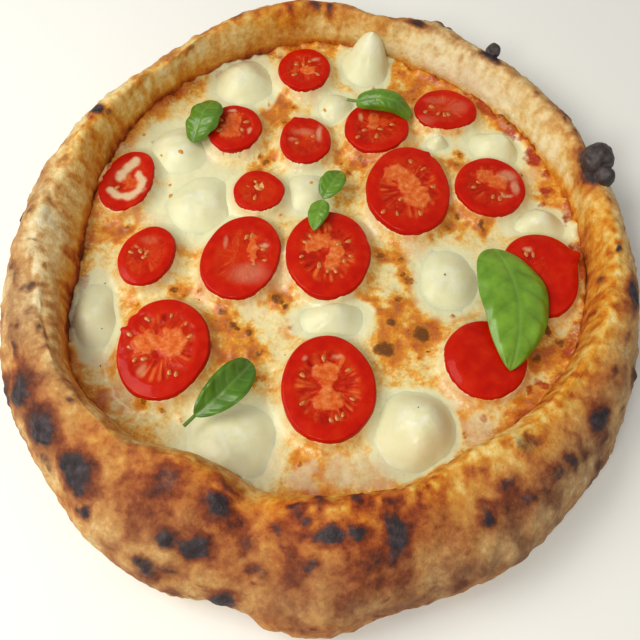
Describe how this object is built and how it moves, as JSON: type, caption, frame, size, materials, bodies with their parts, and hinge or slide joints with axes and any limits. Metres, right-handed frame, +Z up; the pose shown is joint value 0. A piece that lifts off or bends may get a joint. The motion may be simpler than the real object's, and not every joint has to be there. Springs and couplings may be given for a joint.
{
  "type": "caprese pizza",
  "caption": "Whole round pizza with a tall puffy charred crust, melted cheese, tomato slices, mozzarella lumps and basil leaves.",
  "frame": {"origin": "on the table under the middle of the pizza, the bottom centre of its bounding box", "axes": "+Z up; the broad front of the rim faces -Y; +X to the right as seen from the front"},
  "size_m": [0.2842, 0.318, 0.0385],
  "materials": {
    "crust": "matte",
    "cheese": "satin",
    "tomato": "gloss",
    "mozzarella": "satin",
    "basil": "satin"
  },
  "bodies": {
    "root": {"crust": "crust", "cheese_layer": "cheese", "tomato_01": "tomato", "tomato_02": "tomato", "tomato_03": "tomato", "tomato_04": "tomato", "tomato_05": "tomato", "tomato_06": "tomato", "tomato_07": "tomato", "tomato_08": "tomato", "tomato_09": "tomato", "tomato_10": "tomato", "tomato_11": "tomato", "tomato_12": "tomato", "tomato_13": "tomato", "tomato_14": "tomato", "tomato_15": "tomato", "tomato_16": "tomato", "mozzarella_01": "mozzarella", "mozzarella_02": "mozzarella", "mozzarella_03": "mozzarella", "mozzarella_04": "mozzarella", "mozzarella_05": "mozzarella", "mozzarella_06": "mozzarella", "mozzarella_07": "mozzarella", "mozzarella_08": "mozzarella", "mozzarella_09": "mozzarella", "mozzarella_10": "mozzarella", "mozzarella_11": "mozzarella", "mozzarella_12": "mozzarella", "mozzarella_13": "mozzarella", "mozzarella_14": "mozzarella", "basil_01": "basil", "basil_02": "basil", "basil_03": "basil", "basil_04": "basil", "basil_05": "basil", "basil_06": "basil"}
  },
  "joints": []
}
